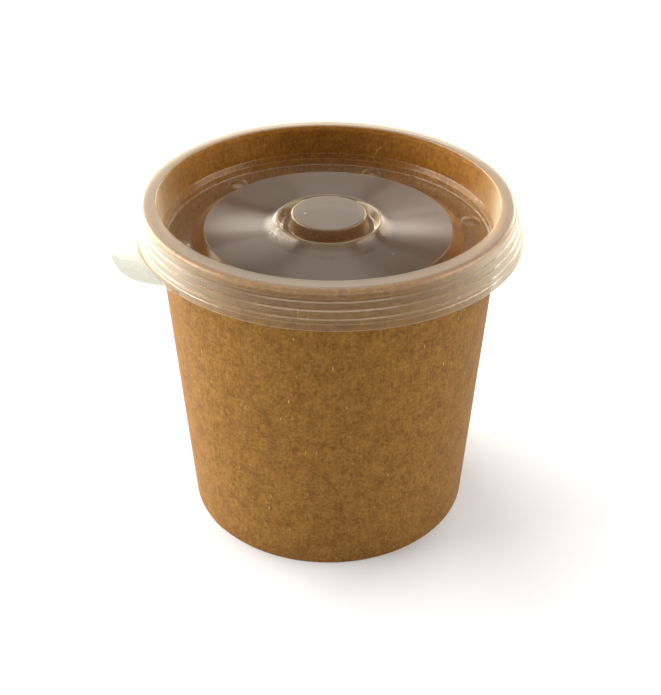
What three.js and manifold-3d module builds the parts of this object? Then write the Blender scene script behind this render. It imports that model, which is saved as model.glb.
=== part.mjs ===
// A round takeaway soup container: a tapered board cup with a rolled rim, its
// recessed board base, and a thin translucent press-fit lid with a lifting tab.
// Millimetres, +Z up. The part stands on z = 0, with its origin under the middle
// of its footprint.
import * as THREE from "three";
import { mergeVertices } from "three/addons/utils/BufferGeometryUtils.js";
import Module from "manifold-3d";

const wasm = await Module();
wasm.setup();

// Driving dimensions of the cup
const CUP_HEIGHT = 86.4;
const FOOT_RADIUS = 37.15;
const WALL_TAPER = 0.0612; // growth in radius for each millimetre of height
const BOARD = 0.45; // thickness of the coated board
const RIM_RADIUS = 45; // outside of the rolled rim
const ROLL_RADIUS = 1.45; // of the rolled rim's own section
const FLARE_START = 78; // height from which the wall opens a little for the lid's plug
const HEM_HEIGHT = 6.8; // of the wall's folded foot, inside
const BASE_HEIGHT = 8; // of the base disc's underside above the table
const SEAM_ANGLE = -139.5; // degrees from +X, the visible edge of the overlap
const SEAM_WIDTH = 9;
const FIT_GAP = 0.3; // between pieces that touch on the real container
const LEAN = 0.0113; // the mouth sits a little out of level: its fall for each millimetre of X

// Driving dimensions of the lid
const LID_HEIGHT = 87.1; // top of the crown above the table
const LID_WALL = 0.4;
const CROWN_OUTER = 45.75;
const CROWN_INNER = 41.7;
const PLUG_RADIUS = 40.8; // foot of the wall that plugs the cup
const SKIRT_RADIUS = 47.45; // bottom edge of the skirt
const SKIRT_BOTTOM = 77.9;
const SKIRT_SHIFT = 0.55; // how far the bottom edge stands off to +X, away from the tab
const RIDGES = { count: 3, top: 84.2, pitch: 1.9 };
const LEDGE = { high: 79.3, low: 78, width: 0.75 };
const ANNULUS_HEIGHT = 76.15;
const PANEL = { radius: 30.8, height: 78.1, slope: 3.05 };
const CRATER = { radius: 12.9, height: 80.3, foot: 16.5, inside: 11.5 };
const MOAT_HEIGHT = 77.9;
const BUTTON = { radius: 9.2, height: 81.9, foot: 9.7 };
const TAB = { angle: -155, thick: 0.6 };
const VENT = { count: 6, angle: 11.5, orbit: 36.8, radius: 2.5, top: 0.7, height: 0.85 };

// The tab's outline in its own axes, out from the lid's axis and along the skirt: where it
// starts, then the control point and the end of each curved stretch, back edge first
const TAB_START = [45, -11.6];
const TAB_CURVES = [
  [[46.2, -11], [46.5, -10.2]],
  [[47, -7.6], [48.9, -7.5]],
  [[51, -7.8], [52.6, -8.4]],
  [[54, -8.6], [54, -6.9]],
  [[54.8, -2.3], [53.9, 1.7]],
  [[53.2, 4.9], [50.9, 7.4]],
  [[49.9, 8.4], [48.3, 9.7]],
  [[46.9, 10.7], [46.3, 13]],
  [[46, 14.6], [44.6, 15.8]],
];

const SEGMENTS = 64;

// Coated kraft board outside, the same board for the base, and frosted polypropylene
const kraft = new THREE.MeshStandardMaterial({ color: 0xa5763f, roughness: 0.85, metalness: 0 });
const kraftBase = new THREE.MeshStandardMaterial({ color: 0x9c6f3c, roughness: 0.8, metalness: 0 });
const frosted = new THREE.MeshStandardMaterial({
  color: 0xd9d3c4,
  roughness: 0.3,
  metalness: 0,
  transparent: true,
  opacity: 0.45,
});

const radians = (degrees) => (degrees * Math.PI) / 180;
const roll = [RIM_RADIUS - ROLL_RADIUS, CUP_HEIGHT - ROLL_RADIUS]; // the rim section's middle

// The wall's outer radius at a height: a cone, opening a little more from the flare to the rim
function wallRadius(z) {
  const cone = FOOT_RADIUS + WALL_TAPER * z;
  const flare = Math.max(z - FLARE_START, 0) / (roll[1] - FLARE_START);
  const missing = roll[0] - ROLL_RADIUS + BOARD - (FOOT_RADIUS + WALL_TAPER * roll[1]);
  return cone + missing * flare;
}

const wallInside = (z) => wallRadius(z) - BOARD;

// Twice the signed area of a profile of [radius, height] points
function signedArea(profile) {
  return profile.reduce((sum, [r, z], i) => {
    const [r2, z2] = profile[(i + 1) % profile.length];
    return sum + r * z2 - r2 * z;
  }, 0);
}

// A profile of [radius, height] points turned round the Z axis. A profile that leaves
// the axis is closed on itself.
function turned(profile) {
  const points = signedArea(profile) > 0 ? [...profile] : [...profile].reverse();
  const onAxis = points.some(([r]) => r === 0);
  if (onAxis) {
    while (points[0][0] !== 0 || points.at(-1)[0] !== 0) points.push(points.shift());
  } else {
    points.push(points[0]);
  }
  const lathe = new THREE.LatheGeometry(points.map(([r, z]) => new THREE.Vector2(r, z)), SEGMENTS);
  return lathe.rotateX(Math.PI / 2);
}

// A closed three.js geometry as a solid that can be joined and cut
function toSolid(geometry) {
  const bare = geometry.clone();
  for (const name of ["normal", "uv"]) bare.deleteAttribute(name);
  const merged = mergeVertices(bare, 1e-4);
  return new wasm.Manifold(
    new wasm.Mesh({
      numProp: 3,
      vertProperties: new Float32Array(merged.attributes.position.array),
      triVerts: new Uint32Array(merged.index.array),
    }),
  );
}

function toGeometry(solid) {
  const { vertProperties, triVerts } = solid.getMesh();
  const geometry = new THREE.BufferGeometry();
  geometry.setAttribute("position", new THREE.BufferAttribute(new Float32Array(vertProperties), 3));
  geometry.setIndex(new THREE.BufferAttribute(new Uint32Array(triVerts), 1));
  geometry.computeVertexNormals();
  return geometry;
}

// Points on an arc in the profile plane, both ends included
function arc([r, z], radius, from, to, steps) {
  return Array.from({ length: steps + 1 }, (_, i) => {
    const angle = radians(from + ((to - from) * i) / steps);
    return [r + radius * Math.cos(angle), z + radius * Math.sin(angle)];
  });
}

// An open profile moved sideways by a distance, to its right seen along its direction
function offset(profile, distance) {
  return profile.map(([r, z], i) => {
    const before = profile[Math.max(i - 1, 0)];
    const after = profile[Math.min(i + 1, profile.length - 1)];
    const ways = [[before, [r, z]], [[r, z], after]]
      .map(([a, b]) => new THREE.Vector2(b[0] - a[0], b[1] - a[1]))
      .filter((way) => way.length() > 0)
      .map((way) => way.normalize());
    const normals = ways.map((way) => new THREE.Vector2(way.y, -way.x));
    const middle = normals.reduce((sum, n) => sum.clone().add(n), new THREE.Vector2()).normalize();
    const reach = distance / middle.dot(normals[0]);
    return [Math.max(r + middle.x * reach, 0), z + middle.y * reach];
  });
}

// The cup's wall: one sheet from the folded foot to the rim, which curls outwards
function cupWallProfile() {
  const curlEnd = -115;
  const slotOuter = wallInside(0);
  const slotInner = slotOuter - 2 * FIT_GAP - BOARD;
  const hemInner = slotInner - BOARD;
  const widening = WALL_TAPER * HEM_HEIGHT;
  const edge = 0.2;
  return [
    [FOOT_RADIUS - edge, 0],
    [FOOT_RADIUS, edge],
    [wallRadius(FLARE_START), FLARE_START],
    ...arc(roll, ROLL_RADIUS - BOARD, 180, curlEnd, 7),
    ...arc(roll, ROLL_RADIUS, curlEnd, 180, 10),
    [wallInside(FLARE_START), FLARE_START],
    [wallInside(BOARD), BOARD],
    [slotInner, BOARD],
    [slotInner + widening, HEM_HEIGHT],
    [hemInner + widening, HEM_HEIGHT],
    [hemInner, edge],
    [hemInner + edge, 0],
  ];
}

// The overlap of the board's two ends: a strip bent round the wall. It stands proud at
// the visible edge and eases back onto the wall, where the upper end runs on.
function seamStrip() {
  const levels = [0, FLARE_START, CUP_HEIGHT - 2 * ROLL_RADIUS - 1];
  const strip = new THREE.BoxGeometry(1, 1, 1, 6, 1, levels.length - 1);
  const places = strip.attributes.position;
  for (let i = 0; i < places.count; i++) {
    const z = levels[Math.round((places.getZ(i) + 0.5) * (levels.length - 1))];
    const across = 0.5 + places.getX(i);
    const proud = places.getY(i) > 0 ? BOARD * (0.9 - across) : -BOARD / 2;
    const radius = wallRadius(z) + proud;
    const angle = radians(SEAM_ANGLE) - (across * SEAM_WIDTH) / wallRadius(z);
    places.setXYZ(i, radius * Math.cos(angle), radius * Math.sin(angle), z);
  }
  return strip;
}

function cupWall() {
  return toGeometry(toSolid(turned(cupWallProfile())).add(toSolid(seamStrip())));
}

// The base: a board disc with a skirt that stands in the wall's folded foot
function cupBase() {
  const outer = (z) => wallInside(z) - FIT_GAP;
  const foot = BOARD + FIT_GAP;
  const top = BASE_HEIGHT + BOARD;
  return turned([
    [0, BASE_HEIGHT],
    [outer(BASE_HEIGHT) - BOARD, BASE_HEIGHT],
    [outer(foot) - BOARD, foot],
    [outer(foot), foot],
    [outer(top), top],
    [0, top],
  ]);
}

// The lid's upper surface from the axis to the skirt's bottom edge
function lidSurface() {
  const chamfer = 0.3;
  const crownCorner = 1.3;
  const plugFoot = PLUG_RADIUS - LEDGE.width;
  const ridgeStep = (SKIRT_RADIUS - CROWN_OUTER) / (RIDGES.count + 1);
  const skirt = Array.from({ length: RIDGES.count }, (_, i) => {
    const z = RIDGES.top - i * RIDGES.pitch;
    const radius = CROWN_OUTER + i * ridgeStep;
    return [[radius + 0.05, z], [radius + ridgeStep, z - chamfer]];
  }).flat();
  return [
    [0, BUTTON.height],
    [BUTTON.radius - chamfer, BUTTON.height],
    [BUTTON.radius, BUTTON.height - chamfer],
    [BUTTON.foot, MOAT_HEIGHT],
    [CRATER.inside, MOAT_HEIGHT],
    [CRATER.radius, CRATER.height],
    [CRATER.radius + 1, CRATER.height - 0.9],
    [CRATER.foot, PANEL.height],
    [PANEL.radius, PANEL.height],
    [PANEL.radius + PANEL.slope, ANNULUS_HEIGHT],
    [plugFoot, ANNULUS_HEIGHT],
    [plugFoot, LEDGE.low],
    [PLUG_RADIUS, LEDGE.high],
    [CROWN_INNER, LID_HEIGHT - chamfer],
    [CROWN_INNER + chamfer, LID_HEIGHT],
    ...arc([CROWN_OUTER - crownCorner, LID_HEIGHT - crownCorner], crownCorner, 90, 0, 3),
    ...skirt,
    [SKIRT_RADIUS, SKIRT_BOTTOM],
  ];
}

// The lifting tab at the skirt's bottom edge, square at the back and swept at the front
function liftingTab() {
  const root = SKIRT_RADIUS - LID_WALL / 2;
  const shape = new THREE.Shape();
  shape.moveTo(...TAB_START);
  for (const [control, end] of TAB_CURVES) shape.quadraticCurveTo(...control, ...end);
  shape.closePath();
  const tab = new THREE.ExtrudeGeometry(shape, {
    depth: TAB.thick,
    bevelEnabled: false,
    curveSegments: 4,
  });
  tab.rotateZ(radians(TAB.angle)).translate(0, 0, SKIRT_BOTTOM);
  const [low, high] = [SKIRT_BOTTOM - 1, SKIRT_BOTTOM + 2];
  const inside = turned([[0, low], [root, low], [root, high], [0, high]]);
  return toSolid(tab).subtract(toSolid(inside));
}

// A low hollow cone on the lid's annulus: the skin and the hollow under it
function ventCone(index, sink) {
  const angle = radians(VENT.angle + (360 / VENT.count) * index);
  const root = 0.1; // sunk into the annulus, so that the two join
  const shrink = sink ? LID_WALL : 0;
  const [top, bottom] = [VENT.top - shrink / 2, VENT.radius - shrink];
  const cone = new THREE.CylinderGeometry(top, bottom, VENT.height + root, 16);
  cone.rotateX(Math.PI / 2);
  cone.translate(
    VENT.orbit * Math.cos(angle),
    VENT.orbit * Math.sin(angle),
    ANNULUS_HEIGHT + (VENT.height - root) / 2 - (sink ? LID_WALL + root : 0),
  );
  return toSolid(cone);
}

function lid() {
  const surface = lidSurface();
  const underside = offset(surface, LID_WALL).reverse();
  let solid = toSolid(turned([...surface, ...underside])).add(liftingTab());
  for (let i = 0; i < VENT.count; i++) solid = solid.add(ventCone(i, false)).subtract(ventCone(i, true));
  return standOff(toGeometry(solid));
}

// The skirt, pushed sideways more and more towards its bottom edge
function standOff(geometry) {
  const places = geometry.attributes.position;
  for (let i = 0; i < places.count; i++) {
    const [x, y, z] = [places.getX(i), places.getY(i), places.getZ(i)];
    const onSkirt = Math.hypot(x, y) > (CROWN_OUTER + CROWN_INNER) / 2;
    const share = (RIDGES.top - z) / (RIDGES.top - SKIRT_BOTTOM);
    if (onSkirt && share > 0) places.setX(i, x + SKIRT_SHIFT * Math.min(share, 1));
  }
  return geometry;
}

// The mouth out of level: everything sinks towards +X, in full from the flare upwards
function leaning(geometry) {
  const places = geometry.attributes.position;
  for (let i = 0; i < places.count; i++) {
    const z = places.getZ(i);
    places.setZ(i, z - LEAN * places.getX(i) * Math.min(z / FLARE_START, 1));
  }
  geometry.computeVertexNormals();
  return geometry;
}

function piece(name, geometry, material) {
  const mesh = new THREE.Mesh(leaning(geometry), material);
  mesh.name = name;
  return mesh;
}

const container = new THREE.Group();
container.add(piece("cup_wall", cupWall(), kraft));
container.add(piece("cup_base", cupBase(), kraftBase));
container.add(piece("lid", lid(), frosted));

// The tab reaches out on one side, so the footprint's middle lies beside the cup's axis
const footprint = new THREE.Box3().setFromObject(container).getCenter(new THREE.Vector3());
container.position.set(-footprint.x, -footprint.y, 0);

export default container;
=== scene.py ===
# %% [markdown]
# # A kraft soup container with a press-fit lid
# The real thing is a cup of brown kraft board, rolled at the rim and folded round its base, with
# a thin lid of translucent polypropylene. This lesson makes the visible skin of each piece over
# solids that are already the right size, then gives each one the finish of its real material.

# %% Load the frame
import math

import bmesh
import bpy
import numpy as np
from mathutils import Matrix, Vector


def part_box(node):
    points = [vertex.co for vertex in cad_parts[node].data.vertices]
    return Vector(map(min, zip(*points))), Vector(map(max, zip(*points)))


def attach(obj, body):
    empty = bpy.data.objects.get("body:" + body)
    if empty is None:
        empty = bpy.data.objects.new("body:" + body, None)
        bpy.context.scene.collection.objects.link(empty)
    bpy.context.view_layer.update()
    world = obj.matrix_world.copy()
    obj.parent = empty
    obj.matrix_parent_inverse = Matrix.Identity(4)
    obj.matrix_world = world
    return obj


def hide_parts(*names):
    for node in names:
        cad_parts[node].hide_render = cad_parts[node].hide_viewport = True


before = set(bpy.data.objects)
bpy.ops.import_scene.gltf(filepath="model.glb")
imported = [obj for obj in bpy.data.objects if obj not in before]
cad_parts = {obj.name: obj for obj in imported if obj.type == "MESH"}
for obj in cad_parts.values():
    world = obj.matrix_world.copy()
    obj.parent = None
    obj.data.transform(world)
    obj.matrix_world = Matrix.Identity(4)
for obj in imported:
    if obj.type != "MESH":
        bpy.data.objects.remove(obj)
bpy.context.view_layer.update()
MM = 0.001  # every size below is in millimetres, as on a drawing
print("solids:", sorted(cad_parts))

# %% [markdown]
# ## The camera
# A photograph of such a pot is taken from a little above, so that the lid shows. The camera
# stands in front and looks down at the middle of the cup. A longish lens keeps the wall's taper
# honest. The cup's own axis is not at the origin, because the lid's tab reaches out on one side,
# so the axis is read off the wall's box.

# %% The cup's axis, and the camera
wall_low, wall_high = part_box("cup_wall")
AXIS_X = (wall_low.x + wall_high.x) / 2 / MM
ELEVATION = 33.71  # degrees above the table
REACH = 310.9  # from the lens to the middle of the cup
MIDDLE = 42.0  # height that the camera looks at

eye = bpy.data.cameras.new("eye")
eye.lens = 60.86
eye.shift_x = 0.0027
eye.clip_start = 0.01
camera = bpy.data.objects.new("eye", eye)
camera.location = (
    AXIS_X * MM,
    -REACH * math.cos(math.radians(ELEVATION)) * MM,
    (MIDDLE + REACH * math.sin(math.radians(ELEVATION))) * MM,
)
camera.rotation_euler = (math.radians(90 - ELEVATION), 0, 0)
bpy.context.scene.collection.objects.link(camera)
bpy.context.scene.camera = camera
print("axis at x =", round(AXIS_X, 3), "mm, camera at", [round(v, 4) for v in camera.location])

# %% [markdown]
# ## Drawing a section
# Both board and plastic are thin sheets, so each piece is drawn as a section, half of what a saw
# cut would show, and turned about the axis. Real corners are never sharp: board folds over a
# small radius and moulded plastic follows a tool with rounded edges. So corners are listed with
# the radius of their fillet, and a helper puts the arc in, with a row just past each end of it,
# which keeps the flat faces flat when the mesh is shaded smooth.

# %% Corners with fillets
SUPPORT = 0.06  # distance of the row that holds a flat face beside a fillet


def rounded(corners):
    """The points (radius, height) of a section from corners (radius, height, fillet, steps)."""
    points = []
    for i, (r, z, fillet, steps) in enumerate(corners):
        here = np.array([r, z])
        if fillet == 0:
            points.append(here)
            continue
        back = np.array(corners[i - 1][:2]) - here
        ahead = np.array(corners[(i + 1) % len(corners)][:2]) - here
        back, ahead = back / np.linalg.norm(back), ahead / np.linalg.norm(ahead)
        half = math.acos(np.clip(back @ ahead, -1, 1)) / 2
        start, end = here + back * fillet / math.tan(half), here + ahead * fillet / math.tan(half)
        middle = here + (back + ahead) / np.linalg.norm(back + ahead) * fillet / math.sin(half)
        first = math.atan2(*(start - middle)[::-1])
        sweep = (math.atan2(*(end - middle)[::-1]) - first + math.pi) % math.tau - math.pi
        points.append(start + back * SUPPORT)
        for share in np.linspace(0, 1, steps + 1):
            angle = first + sweep * share
            points.append(middle + fillet * np.array([math.cos(angle), math.sin(angle)]))
        points.append(end + ahead * SUPPORT)
    return points


def divided(points, longest, where=lambda r, z: True):
    """The same section with its long straight stretches cut up, where a test says so."""
    result = [points[0]]
    for a, b in zip(points, points[1:]):
        middle = (a + b) / 2
        pieces = math.ceil(np.linalg.norm(b - a) / longest) if where(*middle) else 1
        result += [a + (b - a) * k / pieces for k in range(1, pieces + 1)]
    return result


def arc(middle, radius, start, end, steps):
    """Points on an arc in the section, both ends included, angles in degrees."""
    turn = np.radians(np.linspace(start, end, steps + 1))
    return [np.array(middle) + radius * np.array([math.cos(t), math.sin(t)]) for t in turn]


print("a half circle in 4 steps:", [p.round(2).tolist() for p in arc((0, 0), 1, 0, 180, 4)])

# %% [markdown]
# ## Turning a section
# Blender can turn a section with a Screw modifier or bmesh's spin, but both space their steps
# evenly. Here a few places need fine columns, such as the vents and the board's overlap, and the
# rest doesn't, so the ring of columns is given as a list of angles. The outside is on the left of
# the section's direction. The UV map runs round the turn in U and along the section in V, at one
# unit to 100 mm, so that paper fibres and tool marks can follow the surface.

# %% Turn a section about the axis
UV_UNIT = 100.0
ON_AXIS = 1e-6  # a point with a smaller radius lies on the axis


def columns(start, coarse, zones):
    """Angles round the turn, evenly spaced but for zones (from, to, step), all in degrees."""
    ring = np.arange(start, start + 360 - coarse / 2, coarse)
    for low, high, step in zones:
        ring = ring[(ring < low - coarse / 3) | (ring > high + coarse / 3)]
        ring = np.append(ring, np.arange(low, high + step / 2, step))
    return np.sort(ring)


def turned(name, section, ring, closed=False, tags=None, reference=40.0):
    """A mesh of a section turned about Z. tags gives attributes, one number for each point."""
    rows = np.array(section)
    turn = np.radians(ring)
    verts, first, tag_values = [], [], {tag: [] for tag in tags or {}}
    for i, (r, z) in enumerate(rows):
        first.append(len(verts))
        if r < ON_AXIS:
            circle = [(0.0, 0.0, z)]
        else:
            circle = [(r * math.cos(t), r * math.sin(t), z) for t in turn]
        verts += circle
        for tag in tag_values:
            tag_values[tag] += [tags[tag][i]] * len(circle)
    along = np.concatenate([[0], np.cumsum(np.linalg.norm(np.diff(rows, axis=0), axis=1))])
    if closed:
        first.append(first[0])
        along = np.append(along, along[-1] + np.linalg.norm(rows[0] - rows[-1]))
        rows = np.vstack([rows, rows[:1]])
    faces, uv = [], []
    around = np.append(turn, turn[0] + math.tau) * reference / UV_UNIT
    for i in range(len(rows) - 1):
        a, b = first[i], first[i + 1]
        v, w = along[i] / UV_UNIT, along[i + 1] / UV_UNIT
        for j in range(len(turn)):
            k = (j + 1) % len(turn)
            u, x = around[j], around[j + 1]
            if rows[i][0] < ON_AXIS:
                faces.append((a, b + j, b + k))
                uv += [((u + x) / 2, v), (u, w), (x, w)]
            elif rows[i + 1][0] < ON_AXIS:
                faces.append((a + j, b, a + k))
                uv += [(u, v), ((u + x) / 2, w), (x, v)]
            else:
                faces.append((a + j, b + j, b + k, a + k))
                uv += [(u, v), (u, w), (x, w), (x, v)]
    mesh = bpy.data.meshes.new(name)
    mesh.from_pydata(np.array(verts) * MM, [], faces)
    mesh.uv_layers.new(name="UVMap").data.foreach_set("uv", np.array(uv, np.float32).ravel())
    for tag, values in tag_values.items():
        mesh.attributes.new(tag, "FLOAT", "POINT").data.foreach_set("value", values)
    mesh.shade_smooth()
    return mesh


def places(mesh):
    """A mesh's vertices in millimetres, as an array that can be changed."""
    flat = np.zeros(len(mesh.vertices) * 3)
    mesh.vertices.foreach_get("co", flat)
    return flat.reshape(-1, 3) / MM


def put(mesh, points):
    """Moves a mesh's vertices to an array of points in millimetres."""
    mesh.vertices.foreach_set("co", (points * MM).ravel())
    mesh.update()


def from_axis(points, zero=0.0):
    """Each point's distance from the axis, and its angle from a zero angle, in degrees."""
    radius = np.hypot(points[:, 0], points[:, 1])
    angle = np.degrees(np.arctan2(points[:, 1], points[:, 0]))
    return radius, (angle - zero + 180) % 360 - 180


print("columns at", columns(0, 60, [(100, 110, 5)]), "with a fine zone from 100 to 110")

# %% [markdown]
# ## Node helpers
# Shader trees and geometry trees are built the same way: add a node, set its options, fill its
# sockets. One small function does all three. A link may be given as a node, whose first output
# is then used, or as one of its output sockets. Colours are picked as sRGB hex, as a paint chart
# gives them, and turned to the linear light that shaders work in.

# %% One function for nodes, one for colours
def add(tree, kind, links=None, **settings):
    """A new node with its settings, and its sockets filled by values, nodes or sockets."""
    node = tree.nodes.new(kind)
    for name, value in settings.items():
        setattr(node, name, value)
    for socket, value in (links or {}).items():
        if isinstance(value, bpy.types.Node):
            value = value.outputs[0]
        if isinstance(value, bpy.types.NodeSocket):
            tree.links.new(value, node.inputs[socket])
        else:
            node.inputs[socket].default_value = value
    return node


def colour(code):
    """Linear red, green, blue and alpha of an sRGB hex colour."""
    parts = [int(code[i : i + 2], 16) / 255 for i in (1, 3, 5)]
    return [p / 12.92 if p <= 0.04045 else ((p + 0.055) / 1.055) ** 2.4 for p in parts] + [1.0]


def new_material(name):
    """An empty material and its node tree."""
    material = bpy.data.materials.new(name)
    material.use_nodes = True
    material.node_tree.nodes.clear()
    return material, material.node_tree


print("middle grey as light:", [round(part, 3) for part in colour("#808080")])

# %% [markdown]
# ## Kraft board
# Unbleached kraft paperboard, calendered on a paper machine and left brown. It is matte, with
# short fibres that give a fine speckle of under a millimetre, a cloudy mottling of a few
# millimetres where the pulp lay thicker, faint lines along the machine direction, which stands
# upright on this wall, and the odd pale fibre. All of that is colour; relief is tiny. Noise on
# Object coordinates, scaled to millimetres, gives speckle and clouds, and noise on the UV map,
# stretched upwards, gives the fibres, so that they follow the cone.

# %% Kraft board materials
def kraft_board(name, dark, light, pale, roughness, relief):
    """Board from its two browns, the colour of its pale fibres, its roughness and its relief."""
    material, tree = new_material(name)
    place = add(tree, "ShaderNodeTexCoord").outputs["Object"]
    mm = add(tree, "ShaderNodeVectorMath", {0: place, "Scale": 1 / MM}, operation="SCALE")
    uv_map = add(tree, "ShaderNodeUVMap", uv_map="UVMap")
    sheet = add(tree, "ShaderNodeVectorMath", {0: uv_map, "Scale": UV_UNIT}, operation="SCALE")
    speckle = add(
        tree, "ShaderNodeTexNoise", {"Vector": mm, "Scale": 1.3, "Detail": 4.0, "Roughness": 0.7}
    )
    clouds = add(
        tree, "ShaderNodeTexNoise", {"Vector": mm, "Scale": 0.28, "Detail": 3.0, "Roughness": 0.6}
    )
    upright = add(tree, "ShaderNodeMapping", {"Vector": sheet, "Scale": (2.2, 0.16, 1.0)})
    fibres = add(
        tree,
        "ShaderNodeTexNoise",
        {"Vector": upright, "Scale": 1.0, "Detail": 3.0, "Roughness": 0.6},
    )
    slanted = add(
        tree,
        "ShaderNodeMapping",
        {"Vector": sheet, "Scale": (2.4, 0.5, 1.0), "Rotation": (0, 0, 0.5)},
    )
    flecks = add(tree, "ShaderNodeTexNoise", {"Vector": slanted, "Scale": 1.0, "Detail": 0.0})
    grain = 0.0
    for pattern, weight in ((speckle, 0.6), (clouds, 0.22), (fibres, 0.18)):
        terms = {0: pattern, 1: weight, 2: grain}
        grain = add(tree, "ShaderNodeMath", terms, operation="MULTIPLY_ADD")
    tone = add(tree, "ShaderNodeMapRange", {"Value": grain, "From Min": 0.40, "From Max": 0.68})
    paper = add(tree, "ShaderNodeMix", {0: tone, 6: colour(dark), 7: colour(light)}, data_type="RGBA")
    bright = add(
        tree,
        "ShaderNodeMapRange",
        {"Value": flecks, "From Min": 0.815, "From Max": 0.85, "To Max": 0.7},
    )
    skin = add(
        tree, "ShaderNodeMix", {0: bright, 6: paper.outputs[2], 7: colour(pale)}, data_type="RGBA"
    )
    dents = add(
        tree, "ShaderNodeBump", {"Height": grain, "Strength": relief, "Distance": 0.15 * MM}
    )
    rough = add(
        tree,
        "ShaderNodeMapRange",
        {
            "Value": speckle,
            "From Min": 0.3,
            "From Max": 0.7,
            "To Min": roughness - 0.06,
            "To Max": roughness + 0.06,
        },
    )
    body = add(
        tree,
        "ShaderNodeBsdfPrincipled",
        {
            "Base Color": skin.outputs[2],
            "Roughness": rough,
            "Normal": dents,
            "Specular IOR Level": 0.1,
            "Sheen Weight": 0.04,
        },
    )
    add(tree, "ShaderNodeOutputMaterial", {"Surface": body})
    return material


outside_paper = kraft_board("kraft_board_outside", "#70491A", "#A87A34", "#DDB988", 0.66, 0.5)
# Inside, a film of polyethylene is run onto the board: the same brown, a little deeper and
# glossier.
inside_paper = kraft_board("kraft_board_coated_inside", "#905D18", "#D09732", "#DDB988", 0.52, 0.25)
base_paper = kraft_board("kraft_board_base", "#7C501A", "#BC8232", "#C99F68", 0.72, 0.5)
# The rolled rim is painted paler than the wall: painted light, for the light that its top
# catches from above. A cut shows the loose fibres inside the board, with a painted highlight
# along it, and the crack is painted dark: painted shade in its groove.
rolled_rim_painted_light = kraft_board("kraft_board_rolled_rim_painted_light", "#86652F", "#DCBE88", "#F0DCB8", 0.7, 0.8)
cut_fibres_and_highlight = kraft_board("kraft_board_cut_fibres_and_painted_highlight", "#84602F", "#B98A4C", "#E6CDA2", 0.9, 0.5)
crack_painted_shade = kraft_board("kraft_board_crack_painted_shade", "#2E1C08", "#4A2E0E", "#5A3A14", 0.9, 0.5)
papers = (outside_paper, inside_paper, base_paper, rolled_rim_painted_light, cut_fibres_and_highlight, crack_painted_shade)
print("board materials:", [m.name for m in papers])

# %% [markdown]
# ## Moulded polypropylene
# The lid is formed from natural polypropylene, which carries no dye. It is clear but never quite,
# because its crystals scatter a little light: seen straight on it is a faint veil, and seen
# along the wall, where the light crosses more of it, it is milky. So each face mixes a
# Transparent shader with a milky one, by an amount that grows with the length of the way through
# the wall. A gloss that follows the angle of view lies over both. The same recipe with another
# haze and gloss makes every finish of the lid:
#
# - polished by the tool over most of it, and clearest on the plug wall;
# - drawn on the skirt, where the milk comes on steeply along the slant;
# - a light veil on the bead that goes round the rim;
# - milky on the crown and the tab, where the sheet was drawn least;
# - turned on the disc, where the tool was cut on a lathe and left its fine rings, which comb a
#   highlight out into two fans;
# - matt on the button;
# - pale at tight bends, round the vents and on the skirt's ridges: a painted highlight, for the
#   light that these small curves catch.

# %% Polypropylene materials
def polypropylene(name, haze, steep, milk, tint, roughness, gloss, lathe_rings=False):
    """Plastic from its haze, how steeply that grows, its milk, tint, roughness and gloss."""
    material, tree = new_material(name)
    facing = add(tree, "ShaderNodeLayerWeight", {"Blend": 0.5}).outputs["Facing"]
    cosine = add(tree, "ShaderNodeMath", {0: 1.0, 1: facing}, operation="SUBTRACT")
    safe = add(tree, "ShaderNodeMath", {0: cosine, 1: 0.08}, operation="MAXIMUM")
    slant = add(tree, "ShaderNodeMath", {0: safe, 1: steep}, operation="POWER")
    way = add(tree, "ShaderNodeMath", {0: -haze, 1: slant}, operation="DIVIDE")
    clear_share = add(tree, "ShaderNodeMath", {0: way}, operation="EXPONENT")
    veil = add(tree, "ShaderNodeMath", {0: 1.0, 1: clear_share}, operation="SUBTRACT")
    edge = add(tree, "ShaderNodeMath", {0: facing, 1: 5.0}, operation="POWER")
    mirror = add(tree, "ShaderNodeMath", {0: edge, 1: 0.9, 2: gloss}, operation="MULTIPLY_ADD")
    shine_links = {"Color": colour("#FFF6E8"), "Roughness": roughness}
    if lathe_rings:
        tangent = add(tree, "ShaderNodeTangent", direction_type="UV_MAP", uv_map="UVMap")
        shine_links.update({"Anisotropy": 0.75, "Tangent": tangent})
    shine = add(tree, "ShaderNodeBsdfAnisotropic", shine_links)
    through = add(tree, "ShaderNodeBsdfTransparent", {"Color": colour(tint)})
    glow = add(tree, "ShaderNodeBsdfTranslucent", {"Color": colour(milk)})
    cloud = add(tree, "ShaderNodeBsdfDiffuse", {"Color": colour(milk)})
    scatter = add(tree, "ShaderNodeMixShader", {0: 0.4, 1: cloud, 2: glow})
    body = add(tree, "ShaderNodeMixShader", {0: veil, 1: through, 2: scatter})
    lit = add(tree, "ShaderNodeMixShader", {0: mirror, 1: body, 2: shine})
    add(tree, "ShaderNodeOutputMaterial", {"Surface": lit})
    return material


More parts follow.
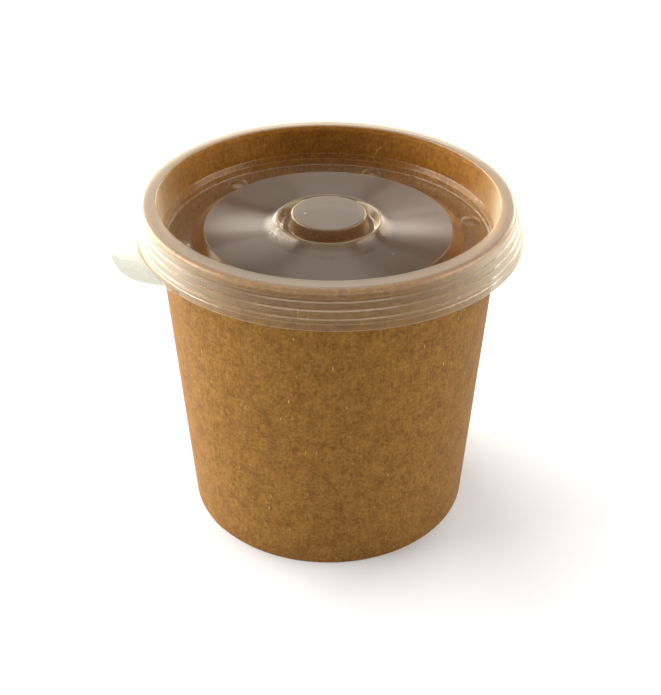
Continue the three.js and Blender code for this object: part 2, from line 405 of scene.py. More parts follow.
# The tag of the faces that have the finish, then what polypropylene asks for. Where two tags
# meet on a face, the lower line counts.
lid_finish = [
    (polypropylene(f"polypropylene_{finish}", *recipe), tag)
    for tag, finish, *recipe in (
        (None, "polished", 0.031, 1, "#EEDDBE", "#F8F2E6", 0.22, 0.04),
        ("clear", "clear", 0.009, 3, "#E9D6B4", "#F6F2E8", 0.22, 0.012),
        ("drawn", "drawn", 0.047, 4.5, "#D6CAB4", "#F6F4EE", 0.25, 0.012),
        ("bead", "bead", 0.13, 1, "#F0E2C8", "#F8F4EC", 0.3, 0.035),
        ("crown", "crown_milky", 0.175, 1, "#E4DED2", "#F0EADE", 0.3, 0.008),
        ("tab", "tab", 0.11, 1, "#CDCEC7", "#DEDED7", 0.3, 0.02),
        ("turned", "turned", 0.006, 1, "#E9E2D6", "#D4CBBC", 0.36, 0.14, True),
        ("matt", "matt", 0.09, 1, "#E9E2D6", "#E2DDD2", 0.45, 0.07),
        # tight bends and ridges: milkier, glossier copies of the plastic, a painted highlight
        ("bend", "tight_bend_painted_highlight", 0.1, 1, "#ECD6AE", "#F6F2E8", 0.3, 0.05),
        ("ridge_painted_highlight", "ridge_painted_highlight", 0.24, 1, "#F4DDB4", "#F6F2E8", 0.25, 0.1),
    )
]
print("lid materials:", [m.name for m, tag in lid_finish])

# %% [markdown]
# ## Rules as geometry trees
# Three things on this object follow a rule over a whole surface, so each is a small tree of
# Geometry Nodes with named inputs: the rim sits a little out of level, so heights sink towards
# one side; the board's ends overlap, which leaves a step at one angle; and the lid has vents at
# even angles. A tree moves points by what it works out from their position. The result is taken
# as a plain mesh, and the modifier goes.

# %% Build and run a geometry tree
def new_tree(name, sizes):
    """A geometry tree with a geometry input and named number inputs."""
    tree = bpy.data.node_groups.new(name, "GeometryNodeTree")
    tree.interface.new_socket("Geometry", in_out="INPUT", socket_type="NodeSocketGeometry")
    for size in sizes:
        tree.interface.new_socket(size, in_out="INPUT", socket_type="NodeSocketFloat")
    tree.interface.new_socket("Geometry", in_out="OUTPUT", socket_type="NodeSocketGeometry")
    given = add(tree, "NodeGroupInput")
    return tree, given


def maths(tree, operation, *values):
    """The output of one Math node."""
    return add(tree, "ShaderNodeMath", dict(enumerate(values)), operation=operation).outputs[0]


def tag_value(tree, tag):
    """The output of the node that reads a tag."""
    return add(tree, "GeometryNodeInputNamedAttribute", {"Name": tag}, data_type="FLOAT").outputs[0]


def position(tree):
    """The three outputs of a point's position."""
    return add(tree, "ShaderNodeSeparateXYZ", {0: add(tree, "GeometryNodeInputPosition")}).outputs


def finish_tree(tree, geometry, materials):
    """Ends a tree: instances made real, then the materials, each but the first with its tag."""
    geometry = add(tree, "GeometryNodeRealizeInstances", {"Geometry": geometry})
    for material, tag in materials:
        setter = add(tree, "GeometryNodeSetMaterial", {"Geometry": geometry, "Material": material})
        if tag:
            chosen = maths(tree, "GREATER_THAN", tag_value(tree, tag), 0.5)
            tree.links.new(chosen, setter.inputs["Selection"])
        geometry = setter
    add(tree, "NodeGroupOutput", {"Geometry": geometry})


def bake(piece, modifier):
    """Leaves what a modifier makes of a piece as the piece's plain mesh."""
    bpy.context.view_layer.update()
    evaluated = piece.evaluated_get(bpy.context.evaluated_depsgraph_get())
    mesh = bpy.data.meshes.new_from_object(evaluated)
    piece.modifiers.remove(modifier)
    old, piece.data = piece.data, mesh
    mesh.name = piece.name
    bpy.data.meshes.remove(old)


def run_tree(piece, tree, sizes):
    """Runs a tree on a piece with its named sizes."""
    modifier = piece.modifiers.new(tree.name, "NODES")
    modifier.node_group = tree
    for socket in tree.interface.items_tree:
        if socket.in_out == "INPUT" and socket.name in sizes:
            modifier[socket.identifier] = float(sizes[socket.name])
    bake(piece, modifier)


def new_piece(name, mesh):
    piece = bpy.data.objects.new(name, mesh)
    bpy.context.scene.collection.objects.link(piece)
    return piece


# %% The tree that puts a piece out of level, on the cup's axis
LEAN = {"Fall": 0.0113, "Full height": 78.0 * MM, "Axis": AXIS_X * MM}


def out_of_level(materials):
    tree, given = new_tree("Out of level", LEAN)
    x, y, z = position(tree)
    share = maths(tree, "MINIMUM", maths(tree, "DIVIDE", z, given.outputs["Full height"]), 1.0)
    drop = maths(tree, "MULTIPLY", maths(tree, "MULTIPLY", x, share), given.outputs["Fall"])
    move = add(
        tree,
        "ShaderNodeCombineXYZ",
        {"X": given.outputs["Axis"], "Z": maths(tree, "MULTIPLY", drop, -1.0)},
    )
    moved = add(tree, "GeometryNodeSetPosition", {"Geometry": given.outputs[0], "Offset": move})
    finish_tree(tree, moved, materials)
    return tree


# %% [markdown]
# ## The cup's wall
# One sheet of board, 0.45 mm thick, is bent into a cone and its ends are glued over each other.
# Its foot is folded up inside round the base, and its mouth opens a little for the lid and curls
# outwards and under, so what shows on the rim is the coated inner face. The section is that
# sheet, all the way round, and the tag on each point says which face of the board it is on.

# %% The wall's section
BOARD = 0.45
FOOT_RADIUS = 37.15
TAPER = 0.0612
FLARE = 78.0
ROLL = (43.55, 84.95)  # the middle of the rolled rim
ROLL_RADIUS = 1.45
ROLL_END = -115.0
HEM = 6.8  # height of the folded foot's inner edge
SLOT = 0.6 + BOARD  # room in the folded foot for the base's skirt
ROLL_FOOT = 83.0  # above this height the board belongs to the rolled rim
BARE_INSIDE = (9.0, 83.5)  # heights of the inner face above the base
MOUTH = 42.3  # the inner face has a smaller radius, the rolled rim a larger one
SLACK = 0.05  # how far a rule for faces or points reaches past what it is meant for


def wall_radius(z):
    """Outer radius at a height: a cone, opening a little above the flare."""
    opening = max(z - FLARE, 0) / (ROLL[1] - FLARE)
    missing = ROLL[0] - ROLL_RADIUS + BOARD - (FOOT_RADIUS + TAPER * ROLL[1])
    return FOOT_RADIUS + TAPER * z + missing * opening


slot_inner = wall_radius(0) - BOARD - SLOT
widening = TAPER * HEM
outer_face = divided(
    rounded(
        [
            (slot_inner - BOARD, 0.0, 0, 0),
            (FOOT_RADIUS, 0.0, 0.2, 4),
            (wall_radius(FLARE), FLARE, 0, 0),
        ]
    )[1:],
    4.0,
) + arc(ROLL, ROLL_RADIUS - BOARD, 180, ROLL_END, 24)
inner_face = (
    arc(ROLL, ROLL_RADIUS, ROLL_END, 180, 30)
    + divided(
        [
            np.array([wall_radius(FLARE) - BOARD, FLARE]),
            np.array([wall_radius(BOARD) - BOARD, BOARD]),
        ],
        4.0,
    )
    + rounded(
        [
            (slot_inner, BOARD, 0, 0),
            (slot_inner + widening, HEM, 0.08, 2),
            (slot_inner - BOARD + widening, HEM, 0.08, 2),
            (slot_inner - BOARD, 0.0, 0.2, 4),
            (FOOT_RADIUS - 2.0, 0.0, 0, 0),
        ]
    )[:-1]
)
wall_section = (outer_face + inner_face)[::-1]
on_wall = [
    float(2 * SLACK < z < ROLL_FOOT and r > wall_radius(min(z, FLARE)) - SLACK)
    for r, z in outer_face
]
on_roll = [float(z > ROLL_FOOT) for r, z in outer_face]
on_inside = [float(BARE_INSIDE[0] < z < BARE_INSIDE[1] and r < MOUTH) for r, z in inner_face]
wall_tags = {
    "outer": (on_wall + [0.0] * len(inner_face))[::-1],
    "inner": ([0.0] * len(outer_face) + on_inside)[::-1],
    "coated": ([0.0] * len(outer_face) + [1.0] * len(inner_face))[::-1],
    "rolled": (on_roll + [0.0] * len(inner_face))[::-1],
}
print("wall section:", len(wall_section), "points")

# %% [markdown]
# The overlap stands upright at the front left. The board's outer end stops there, facing the
# front, and eases away on its other side, where it lies over the inner end. The press has
# flattened the step, so it is drawn as a narrow bevel, lower than the board is thick, with the
# paler fibres of the cut on it and a painted highlight along it. Where the overlap goes round
# the rolled rim the double board has cracked open a little, and the groove is painted dark as
# painted shade.

# %% The wall, its overlap and the crack in its rim
SEAM = -139.5  # angles in degrees
SEAM_EASE = 12.9
SEAM_BEVEL = 0.7
CRACK = -140.35
CRACK_LOW = -25.0  # how far down the outside of the rolled rim the crack reaches, 90 is the top
CRACK_BOW = 0.85
WALL_STEP = 1.5
SEAM_ZONE = (SEAM + 358, SEAM + 361.2, 0.14)
wall_ring = columns(SEAM + WALL_STEP, WALL_STEP, [SEAM_ZONE])
wall_mesh = turned("cup_wall", wall_section, wall_ring, closed=True, tags=wall_tags)


def tag_points(mesh, tag, values):
    """Writes one number for each point of a mesh, for a tree to read."""
    mesh.attributes.new(tag, "FLOAT", "POINT").data.foreach_set("value", values)


def crack_rim(mesh, depth=0.5, half_width=0.32):
    """Sinks a narrow, slightly curved groove across the top and outside of the rolled rim."""
    points = places(mesh)
    radius, angle = from_axis(points, CRACK)
    out, up = radius - ROLL[0], points[:, 2] - ROLL[1]
    climb = np.degrees(np.arctan2(up, out))  # 90 is the rim's top, 0 its outside
    along = np.clip((climb - CRACK_LOW) / (90 - CRACK_LOW), 0, 1)
    bend = CRACK_BOW * (2 * along - 1) ** 2
    aside = np.abs(np.radians(angle - bend)) * radius
    near = (np.hypot(out, up) > ROLL_RADIUS - 2 * SLACK) & (climb > CRACK_LOW) & (climb < 90)
    sink = np.where(near, depth * np.clip(1 - aside / half_width, 0, 1), 0)
    sink *= np.clip(8 * along * (1 - along), 0, 1)  # it runs out at both ends
    share = sink / np.maximum(np.hypot(out, up), 0.1)
    points[:, 0] -= points[:, 0] / radius * out * share
    points[:, 1] -= points[:, 1] / radius * out * share
    points[:, 2] -= up * share
    put(mesh, points)
    # the mask of the painted shade follows the groove's depth
    tag_points(mesh, "crack", np.clip(2.5 * sink / depth, 0, 1))
    return int((sink > 0).sum())


def tag_cut_edge(mesh):
    """Marks the wall's points on the bevelled edge of the overlap."""
    radius, angle = from_axis(places(mesh), SEAM)
    outer = np.zeros(len(radius))
    mesh.attributes["outer"].data.foreach_get("value", outer)
    on_edge = (angle > -SLACK) & (angle < SEAM_BEVEL + SLACK) & (outer > 0.5)
    tag_points(mesh, "cut_edge", on_edge.astype(float))


print("points in the crack:", crack_rim(wall_mesh))
tag_cut_edge(wall_mesh)
cup_wall_skin = new_piece("cup_wall_board", wall_mesh)

# %% The tree for the overlap
OVERLAP = {
    "Edge": math.radians(SEAM + SEAM_BEVEL),
    "Bevel": math.radians(SEAM_BEVEL),
    "Ease": math.radians(SEAM_EASE),
    "Rise": 0.12 * MM,
}


def board_overlap(materials):
    tree, given = new_tree("Board overlap", OVERLAP)
    x, y, z = position(tree)
    angle = maths(tree, "ARCTAN2", y, x)
    before = maths(tree, "SUBTRACT", given.outputs["Edge"], angle)
    past = maths(tree, "WRAP", before, math.tau, 0.0)
    share = maths(tree, "DIVIDE", past, given.outputs["Ease"])
    bevel = maths(tree, "MINIMUM", maths(tree, "DIVIDE", past, given.outputs["Bevel"]), 1.0)
    slope = maths(tree, "MAXIMUM", maths(tree, "SUBTRACT", 1.0, share), 0.0)
    falling = maths(tree, "MULTIPLY", slope, bevel)
    rising = maths(tree, "MULTIPLY", share, maths(tree, "LESS_THAN", share, 1.0))
    out = maths(tree, "MULTIPLY", falling, tag_value(tree, "outer"))
    inwards = maths(tree, "MULTIPLY", rising, tag_value(tree, "inner"))
    step = maths(tree, "MULTIPLY", maths(tree, "SUBTRACT", out, inwards), given.outputs["Rise"])
    level = add(tree, "ShaderNodeCombineXYZ", {"X": x, "Y": y})
    outwards = add(tree, "ShaderNodeVectorMath", {0: level}, operation="NORMALIZE")
    move = add(tree, "ShaderNodeVectorMath", {0: outwards, "Scale": step}, operation="SCALE")
    moved = add(tree, "GeometryNodeSetPosition", {"Geometry": given.outputs[0], "Offset": move})
    finish_tree(tree, moved, materials)
    return tree


wall_finish = [
    (outside_paper, None),
    (inside_paper, "coated"),
    # painted light: the rolled rim's top is painted paler, as if lit from above
    (rolled_rim_painted_light, "rolled"),
    # the cut's paler fibres, with a painted highlight on the strip
    (cut_fibres_and_highlight, "cut_edge"),
    # painted shade: the crack's groove is painted dark
    (crack_painted_shade, "crack"),
]
run_tree(cup_wall_skin, board_overlap(wall_finish), OVERLAP)
run_tree(cup_wall_skin, out_of_level(wall_finish), LEAN)
print("wall:", len(cup_wall_skin.data.polygons), "faces")

# %% [markdown]
# ## The base
# A disc of the same board with its edge turned down into a short skirt, which stands in the
# wall's folded foot. It is set up from the table, so the cup stands on the fold alone.

# %% The base
GAP = 0.3
BASE_HEIGHT = 8.0


def skirt_radius(z):
    return wall_radius(z) - BOARD - GAP


base_section = rounded(
    [
        (0.0, BASE_HEIGHT + BOARD, 0, 0),
        (skirt_radius(BASE_HEIGHT + BOARD), BASE_HEIGHT + BOARD, 0.4, 5),
        (skirt_radius(BOARD + GAP), BOARD + GAP, 0.05, 2),
        (skirt_radius(BOARD + GAP) - BOARD, BOARD + GAP, 0.05, 2),
        (skirt_radius(BASE_HEIGHT) - BOARD, BASE_HEIGHT, 0.15, 4),
        (0.0, BASE_HEIGHT, 0, 0),
    ]
)
base_mesh = turned("cup_base", base_section, columns(0, 2.5, []))
cup_base_skin = new_piece("cup_base_board", base_mesh)
run_tree(cup_base_skin, out_of_level([(base_paper, None)]), LEAN)
print("base:", len(cup_base_skin.data.polygons), "faces")

# %% [markdown]
# ## The lid
# One skin of polypropylene, 0.4 mm thick. From the middle outwards: a round button in a narrow
# moat, a ring whose outside runs out in a hollow curve, a flat disc, a step down to a ring-shaped
# floor with the vents, the wall that plugs the cup, the crown over the rim, and a skirt in three
# steps. Only the upper surface is drawn. The lower one is the same corners moved in by the
# thickness, with their fillets made wider or tighter to suit, so the wall is even everywhere.

# %% The lid's section
LID_WALL = 0.4
TIGHTEST = 0.06  # the smallest fillet
lid_corners = [  # radius, height, fillet, steps
    (0.0, 81.95, 0, 0),
    (9.2, 81.95, 0.45, 6),
    (9.75, 78.2, 0.4, 5),
    (11.4, 78.2, 0.4, 5),
    (12.9, 80.8, 0.4, 8),
    (14.35, 78.08, 3.5, 10),
    (30.8, 78.35, 0.4, 4),
    (33.85, 76.15, 0.6, 4),
    (40.05, 76.15, 0.35, 4),
    (40.1, 78.0, 0.25, 3),
    (40.85, 79.25, 0.3, 4),
    (41.68, 87.095, 0.3, 5),
    (45.72, 87.095, 1.25, 9),
    (45.8, 84.2, 0.1, 2),
    (46.16, 83.9, 0.1, 2),
    (46.2, 82.3, 0.1, 2),
    (46.6, 82.0, 0.1, 2),
    (46.65, 80.4, 0.1, 2),
    (47.0, 80.1, 0.1, 2),
    (47.05, 79.3, 0.06, 1),
    (47.18, 79.15, 0.06, 1),
    (47.45, 77.9, 0, 0),
]


def moved_in(corners, thickness):
    """Corners moved to the right of their direction, with fillets to match."""
    result = []
    for i, (r, z, fillet, steps) in enumerate(corners):
        here = np.array([r, z])
        ways = [
            np.array(corners[k][:2]) - np.array(corners[k - 1][:2])
            for k in (i, i + 1)
            if 0 < k < len(corners)
        ]
        ways = [w / np.linalg.norm(w) for w in ways]
        normals = [np.array([w[1], -w[0]]) for w in ways]
        middle = sum(normals) / np.linalg.norm(sum(normals))
        point = here + middle * thickness / (middle @ normals[0])
        left_turn = len(ways) == 2 and ways[0][0] * ways[1][1] - ways[0][1] * ways[1][0] > 0
        inside = fillet + thickness if left_turn else max(fillet - thickness, TIGHTEST)
        result.append((max(point[0], 0.0), point[1], inside if fillet else 0, max(steps - 2, 2)))
    return result


def on_vent_floor(r, z):
    return 34.0 < r < 39.6 and z < 77


def on_plug_wall(r, z):
    return 40.7 < r < 41.8 and 79 < z < 87


upper = divided(divided(rounded(lid_corners), 0.3, on_vent_floor), 0.5, on_plug_wall)
lower = divided(rounded(moved_in(lid_corners, LID_WALL)), 0.35, on_vent_floor)
lip_out, lip_in = upper[-1], lower[-1]
lip_middle = (lip_out + lip_in) / 2
lip_turn = math.degrees(math.atan2(*(lip_out - lip_middle)[::-1]))
lip = arc(lip_middle, LID_WALL / 2, lip_turn, lip_turn - 180, 6)[1:-1]
lid_section = upper + lip + lower[::-1]
print("lid section:", len(upper), "points above,", len(lower), "below")

# %% Turn the lid
VENTS = 6
FIRST_VENT = 11.5
VENT_REACH = 4.6  # degrees to each side of a vent that need fine columns
vent_angles = [FIRST_VENT + 360 // VENTS * k for k in range(VENTS)]
vent_zones = [(angle - VENT_REACH, angle + VENT_REACH, 0.35) for angle in vent_angles]
lid_mesh = turned("lid", lid_section, columns(0, 2.2, vent_zones))
print("lid:", len(lid_mesh.polygons), "faces")

# %% [markdown]
# The plug wall took a knock at the back right: a short sharp crease that runs down to the ledge,
# with a faint upright dent above it. Both are pushed into the mesh by their distance from a line
# drawn on the wall.

# %% The crease in the plug wall
PLUG_RADIUS = 41.3
PLUG_SKIN = (40.2, 42.4)  # radii of both faces of the plug wall
PLUG_HEIGHTS = (78.2, 86.9)


def crease(mesh, start, end, depth, half_width):
    """Pushes the plug wall towards the axis along a line between two points (angle, height)."""
    points = places(mesh)
    radius, angle = from_axis(points)
    across = np.radians(1) * PLUG_RADIUS
    spot = np.stack([angle * across, points[:, 2]], axis=1)
    a = np.array([start[0] * across, start[1]])
    b = np.array([end[0] * across, end[1]])
    share = np.clip((spot - a) @ (b - a) / ((b - a) @ (b - a)), 0, 1)
    aside = np.linalg.norm(spot - a - share[:, None] * (b - a), axis=1)
    low, high = PLUG_HEIGHTS
    near = (radius > PLUG_SKIN[0]) & (radius < PLUG_SKIN[1])
    near &= (points[:, 2] > low) & (points[:, 2] < high)
    push = np.where(near, depth * np.clip(1 - aside / half_width, 0, 1), 0)
    points[:, :2] -= points[:, :2] * (push / np.maximum(radius, 1.0))[:, None]
    put(mesh, points)
    return int((push > 0).sum())


print("crease:", crease(lid_mesh, (69.2, 82.0), (71.7, 79.3), 0.5, 0.9), "points")
print("dent:", crease(lid_mesh, (72.7, 82.6), (72.9, 86.0), 0.1, 0.8), "points")

# %% [markdown]
# The lifting tab grows out of the skirt's bottom edge: a flat leaf, square at the back and swept
# at the front, drawn with the same curves as its solid. Its rim is rounded, so it is built as a
# stack of outlines that draw in by a circle's law towards the two faces. In a clear plastic a
# joint that only overlaps shows as a dark band, so the leaf and the skirt are made one skin by a
# Boolean modifier. The leaf's two faces are cut into triangles first, because the Boolean can
# fill a many-sided face with a hollow outline wrongly.

# %% The lifting tab and small marks of the mould
TAB_ANGLE = -155.0
TAB_THICK = 0.6
TAB_FLOOR = 77.9
TAB_ROOT = 47.25
RING_HALF_WIDTH = 0.18
TAB_START = (45, -11.6)  # where the outline starts, then a control point and an end for each curve
TAB_CURVES = [
    [(46.2, -11), (46.5, -10.2)],
    [(47, -7.6), (48.9, -7.5)],
    [(51, -7.8), (52.6, -8.4)],
    [(54, -8.6), (54, -6.9)],
    [(54.8, -2.3), (53.9, 1.7)],
    [(53.2, 4.9), (50.9, 7.4)],
    [(49.9, 8.4), (48.3, 9.7)],
    [(46.9, 10.7), (46.3, 13)],
    [(46, 14.6), (44.6, 15.8)],
]


def tab_outline():
    """Points round the tab, in its own axes: out from the lid's axis, and along the skirt."""
    points, here = [], np.array(TAB_START, float)
    for control, end in TAB_CURVES:
        control, end = np.array(control, float), np.array(end, float)
        for t in np.linspace(0, 1, 13)[1:]:
            points.append((1 - t) ** 2 * here + 2 * t * (1 - t) * control + t**2 * end)
        here = end
    outside = [p for p in points if np.hypot(*p) > TAB_ROOT]
    first, last = (math.atan2(p[1], p[0]) for p in (outside[0], outside[-1]))
    turn = np.linspace(last, first, 26)
    root = [TAB_ROOT * np.array([math.cos(a), math.sin(a)]) for a in turn]
    return np.array(outside + root)


def tab_mesh():
    outline = tab_outline()
    ahead = np.roll(outline, -1, axis=0) - np.roll(outline, 1, axis=0)
    ahead /= np.linalg.norm(ahead, axis=1)[:, None]
    outwards = np.stack([ahead[:, 1], -ahead[:, 0]], axis=1)
    half = TAB_THICK / 2
    turn = math.radians(TAB_ANGLE)
    spin = np.array([[math.cos(turn), math.sin(turn)], [-math.sin(turn), math.cos(turn)]])
    build = bmesh.new()
    rings = []
    for lift in np.radians(np.linspace(-90, 90, 9)):
        level = (outline - outwards * half * (1 - math.cos(lift))) @ spin
        z = TAB_FLOOR + half + half * math.sin(lift)
        rings.append([build.verts.new((x * MM, y * MM, z * MM)) for x, y in level])
    for low, high in zip(rings, rings[1:]):
        for i in range(len(low)):
            k = (i + 1) % len(low)
            build.faces.new((low[i], low[k], high[k], high[i]))
    caps = [build.faces.new(rings[-1]), build.faces.new(rings[0][::-1])]
    bmesh.ops.recalc_face_normals(build, faces=build.faces)
    bmesh.ops.triangulate(build, faces=caps, ngon_method="EAR_CLIP")
    mesh = bpy.data.meshes.new("tab")
    build.to_mesh(mesh)
    build.free()
    mesh.uv_layers.new(name="UVMap")
    mesh.shade_smooth()
    return mesh


def bump_mesh(x, y, z, radius, height):
    """A low closed dome on the lid's skin, with its underside sunk into the skin."""
    turn = np.radians([0, 30, 55, 75, 90])
    dome = [np.array([radius * math.sin(a), height * math.cos(a)]) for a in turn]
    sunk = [np.array([radius * 0.9, -0.1]), np.array([0.0, -0.1])]
    mesh = turned("bump", dome + sunk, columns(0, 24, []))
    put(mesh, places(mesh) + np.array([x, y, z]))
    return mesh


def ring_mesh(x, y, z, radius):
    """A low raised ring on the lid's skin."""
    section = arc((radius, 0), RING_HALF_WIDTH, 180, -180, 10)[:-1]
    mesh = turned("ring", section, columns(0, 9, []), closed=True)
    put(mesh, places(mesh) * np.array([1, 1, 0.5]) + np.array([x, y, z]))
    return mesh


def polar(angle, radius):
    return radius * math.cos(math.radians(angle)), radius * math.sin(math.radians(angle))


small_marks = [  # place, radius and, for a bump, height
    bump_mesh(-5.66, -1.02, 81.93, 0.5, 0.22),
    bump_mesh(26.05, 2.62, 78.24, 0.3, 0.1),
    bump_mesh(15.31, -13.93, 78.16, 0.3, 0.1),
    ring_mesh(*polar(106.9, 37.3), 76.18, 1.9),
    bump_mesh(*polar(100.3, 39.0), 76.13, 0.45, 0.12),
    bump_mesh(*polar(97.5, 39.0), 76.13, 0.45, 0.12),
    bump_mesh(*polar(95.8, 36.7), 76.13, 0.35, 0.12),
]
lid_skin = new_piece("lid_polypropylene", lid_mesh)
leaf = new_piece("leaf", tab_mesh())
union = lid_skin.modifiers.new("grown together", "BOOLEAN")
union.operation, union.solver, union.object = "UNION", "MANIFOLD", leaf
bake(lid_skin, union)
lid_skin.data.materials.clear()  # the union leaves an empty slot, and the tree fills its own
bpy.data.objects.remove(leaf)
print("lid with its tab:", len(lid_skin.data.polygons), "faces")

joined = bmesh.new()
for mesh in [lid_skin.data, *small_marks]:
    joined.from_mesh(mesh)
open_edges = sum(not edge.is_manifold for edge in joined.edges)
joined.to_mesh(lid_skin.data)
joined.free()
lid_skin.data.set_sharp_from_angle(angle=math.radians(40))  # smooth shading would smear the joints
print("lid with its marks:", len(lid_skin.data.polygons), "faces,", open_edges, "open edges")

# %% [markdown]
# Each finish has its own place on the lid. A tag on each face carries it, and the tree reads the
# tags when it sets the materials. The tight bends are listed by where they lie in the section.

# %% Tag the faces of each finish
TIGHT_BENDS = [  # radius from, to, height from, to
    (8.75, 9.4, 81.45, 82.1),  # the button's edge
    (12.6, 13.25, 80.1, 81.0),  # the ring's crest
    (30.55, 31.1, 77.95, 78.5),  # the disc's border
    (39.75, 40.15, 76.1, 76.5),  # the foot of the ledge
    (40.0, 40.35, 77.8, 78.3),
    (40.65, 41.0, 79.05, 79.55),
    (41.45, 42.05, 86.6, 87.2),  # the crown's inner edge
    (47.15, 47.6, 77.6, 78.15),  # the skirt's bottom edge
]


BUTTON = 8.9  # radii, from the middle outwards
DISC = (13.2, 30.75)
PLUG_INSIDE = 40.3
CROWN_INSIDE = 41.5
SKIRT_INSIDE = 43.6
RIDGES = (45.78, 47.4)
LEAF_ROOT = 47.2
PAST_SKIRT = 47.6
MILKY_TAB = 48.3
DISC_FOOT = 77.5  # heights, from the disc upwards
PLUG_FOOT = 77.8
LEAF_FACE = 77.89
RIDGE_TOP = 84.4
BEAD_FOOT = 85.3
CROWN_FOOT = 86.0


def tag_finishes(mesh):
    """Marks the faces of each finish but the polished one, and counts them."""
    count = len(mesh.polygons)
    middles, normals = np.zeros(count * 3), np.zeros(count * 3)
    mesh.polygons.foreach_get("center", middles)
    mesh.polygons.foreach_get("normal", normals)
    radius = np.hypot(middles[0::3], middles[1::3]) / MM
    height = middles[2::3] / MM
    up = normals[2::3]
    top = (up > 0.3) & (height > DISC_FOOT)
    on_tab = (radius > PAST_SKIRT) | ((radius > LEAF_ROOT) & (height < LEAF_FACE))
    bends = np.zeros(count, bool)
    for inner, outer, low, high in TIGHT_BENDS:
        bends |= (radius > inner) & (radius < outer) & (height > low) & (height < high)
    ridges = (radius > RIDGES[0]) & (radius < RIDGES[1]) & (height < RIDGE_TOP) & (up > 0.35)
    chosen = {
        "clear": (radius > PLUG_INSIDE) & (height > PLUG_FOOT),
        "bead": (radius > SKIRT_INSIDE) & (height > BEAD_FOOT),
        "drawn": ((radius > SKIRT_INSIDE) & (height < BEAD_FOOT)) | on_tab,
        "crown": (radius > CROWN_INSIDE) & (height > CROWN_FOOT) & (np.abs(up) > 0.88),
        "tab": radius > MILKY_TAB,
        "turned": top & (radius > DISC[0]) & (radius < DISC[1]),
        "matt": top & (radius < BUTTON),
        "bend": bends & ~on_tab,
        "ridge_painted_highlight": ridges & ~on_tab,
    }
    for tag, faces in chosen.items():
        mesh.attributes.new(tag, "FLOAT", "FACE").data.foreach_set("value", faces.astype(float))
    return {tag: int(faces.sum()) for tag, faces in chosen.items()}


print("faces of each finish:", tag_finishes(lid_skin.data))

# %% The tree for the vents and the skirt that stands off
LID_RULES = {
    "Count": VENTS,
    "First": math.radians(FIRST_VENT),
    "Orbit": 36.8 * MM,
    "Radius": 2.5 * MM,
    "Height": 0.85 * MM,
    "Soft edge": 0.1 * MM,
    "Stand-off": 0.55 * MM,
    "Skirt top": 84.2 * MM,
    "Skirt bottom": 77.9 * MM,
    "Skirt inside": 43.725 * MM,
}


def squares(tree, a, b):
    """The sum of the squares of two outputs."""
    return maths(tree, "ADD", maths(tree, "MULTIPLY", a, a), maths(tree, "MULTIPLY", b, b))


def vents_and_skirt(materials):
    tree, given = new_tree("Vents and skirt", LID_RULES)
    size = given.outputs
    x, y, z = position(tree)
    radius = maths(tree, "SQRT", squares(tree, x, y))
    pitch = maths(tree, "DIVIDE", math.tau, size["Count"])
    half = maths(tree, "MULTIPLY", pitch, 0.5)
    angle = maths(tree, "SUBTRACT", maths(tree, "ARCTAN2", y, x), size["First"])
    local = maths(tree, "WRAP", angle, half, maths(tree, "MULTIPLY", half, -1.0))
    along = maths(tree, "MULTIPLY", radius, maths(tree, "COSINE", local))
    out = maths(tree, "SUBTRACT", along, size["Orbit"])
    aside = maths(tree, "MULTIPLY", radius, maths(tree, "SINE", local))
    whole = maths(tree, "MULTIPLY", size["Radius"], size["Radius"])
    share = maths(tree, "DIVIDE", squares(tree, out, aside), whole)
    cap = maths(tree, "MULTIPLY", maths(tree, "SUBTRACT", 1.0, share), size["Height"])
    lift = maths(tree, "SMOOTH_MAX", cap, 0.0, size["Soft edge"])
    drop = maths(tree, "SUBTRACT", size["Skirt top"], z)
    depth = maths(tree, "SUBTRACT", size["Skirt top"], size["Skirt bottom"])
    down = add(tree, "ShaderNodeClamp", {"Value": maths(tree, "DIVIDE", drop, depth)})
    on_skirt = maths(tree, "GREATER_THAN", radius, size["Skirt inside"])
    pushed = maths(tree, "MULTIPLY", down.outputs[0], on_skirt)
    push = maths(tree, "MULTIPLY", pushed, size["Stand-off"])
    move = add(tree, "ShaderNodeCombineXYZ", {"X": push, "Z": lift})
    moved = add(tree, "GeometryNodeSetPosition", {"Geometry": given.outputs[0], "Offset": move})
    # the vents' rims join the tight bends and get the same painted highlight
    past_rim = maths(tree, "GREATER_THAN", share, 0.7)
    rim = maths(tree, "MULTIPLY", past_rim, maths(tree, "LESS_THAN", share, 1.15))
    bends = maths(tree, "MAXIMUM", tag_value(tree, "bend"), rim)
    marked = add(
        tree,
        "GeometryNodeStoreNamedAttribute",
        {"Geometry": moved, "Name": "bend", "Value": bends},
        data_type="FLOAT",
        domain="FACE",
    )
    finish_tree(tree, marked, materials)
    return tree


run_tree(lid_skin, vents_and_skirt(lid_finish), LID_RULES)
run_tree(lid_skin, out_of_level(lid_finish), LEAN)
print("lid materials on the mesh:", [m.name for m in lid_skin.data.materials])

# %% [markdown]
# ## Floor and light
# A studio table: a wide, nearly white floor. Broad soft boxes stand low at the left and the right,
# so the wall is brightest at its sides. Two wide, low ones behind, at the left and the right, give
# the turned disc its two fans. One hangs overhead, and a faint backdrop and the room itself add a
# little light.

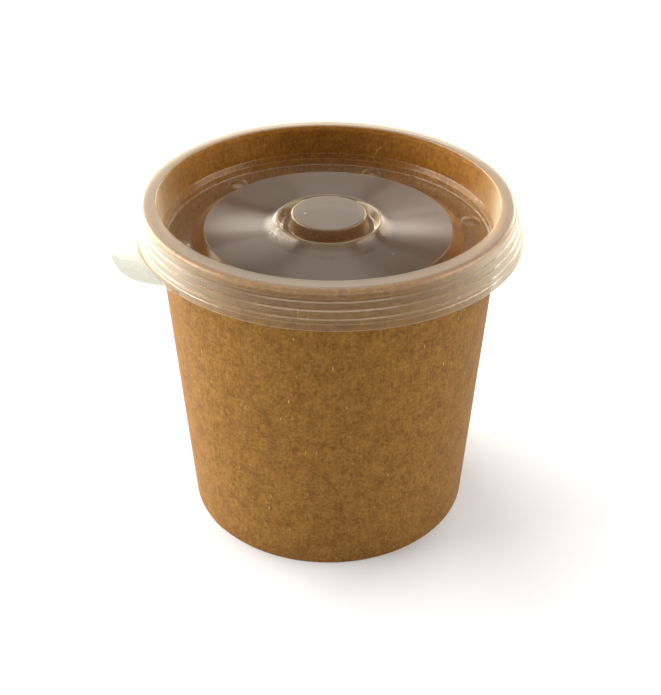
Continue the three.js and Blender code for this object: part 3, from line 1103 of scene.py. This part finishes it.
# %% Floor, lights and world
def soft_box(name, place, aim, width, height, brightness):
    """An area light by the brightness of its face, where 1 shows as white."""
    light = bpy.data.lights.new(name, "AREA")
    light.shape = "RECTANGLE"
    light.size, light.size_y = width, height
    light.energy = brightness * math.pi * width * height
    lamp = bpy.data.objects.new(name, light)
    lamp.location = place
    way = np.array(aim) - np.array(place)
    level = math.hypot(way[0], way[1])
    lamp.rotation_euler = (math.atan2(level, -way[2]), 0, math.atan2(way[1], way[0]) - math.pi / 2)
    bpy.context.scene.collection.objects.link(lamp)


soft_box("soft_box_left", (-0.95, 0.16, 0.36), (0, 0, 0.06), 1.2, 0.6, 8.8)
soft_box("soft_box_right", (0.92, -0.08, 0.34), (0, 0, 0.06), 0.8, 0.5, 4.4)
soft_box("soft_box_back_left", (-0.55, 0.80, 0.34), (0, 0, 0.08), 0.8, 0.25, 14.5)
soft_box("soft_box_back_right", (0.55, 0.80, 0.34), (0, 0, 0.08), 0.7, 0.25, 9.0)
soft_box("soft_box_top", (0.0, 0.0, 1.1), (0, 0, 0), 1.0, 1.0, 1.6)
soft_box("backdrop", (0.0, 1.3, 1.1), (0, 0, 0.08), 2.4, 1.0, 0.25)

world = bpy.data.worlds.new("room")
bpy.context.scene.world = world
world.use_nodes = True
world.node_tree.nodes.clear()
room = add(world.node_tree, "ShaderNodeBackground", {"Color": (1, 1, 1, 1), "Strength": 0.25})
add(world.node_tree, "ShaderNodeOutputWorld", {"Surface": room})

floor_mesh = bpy.data.meshes.new("floor")
floor_mesh.from_pydata([(-4, -4, 0), (4, -4, 0), (4, 4, 0), (-4, 4, 0)], [], [(0, 1, 2, 3)])
floor = new_piece("floor", floor_mesh)
floor_paint, floor_tree = new_material("floor_white_card")
card = add(
    floor_tree, "ShaderNodeBsdfPrincipled", {"Base Color": (0.88, 0.88, 0.88, 1), "Roughness": 0.9}
)
add(floor_tree, "ShaderNodeOutputMaterial", {"Surface": card})
floor_mesh.materials.append(floor_paint)
bpy.context.scene.view_settings.view_transform = "Standard"
print("lights:", [light.name for light in bpy.data.lights])

# %% [markdown]
# ## Hand over
# Each skin takes the place of its solid and rides on the container's one body.

# %% Tie the skins to the solids
for piece, node, slot in (
    (cup_wall_skin, "cup_wall", "kraft_board"),
    (cup_base_skin, "cup_base", "kraft_base_board"),
    (lid_skin, "lid", "frosted_polypropylene"),
):
    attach(piece, "root")
    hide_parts(node)
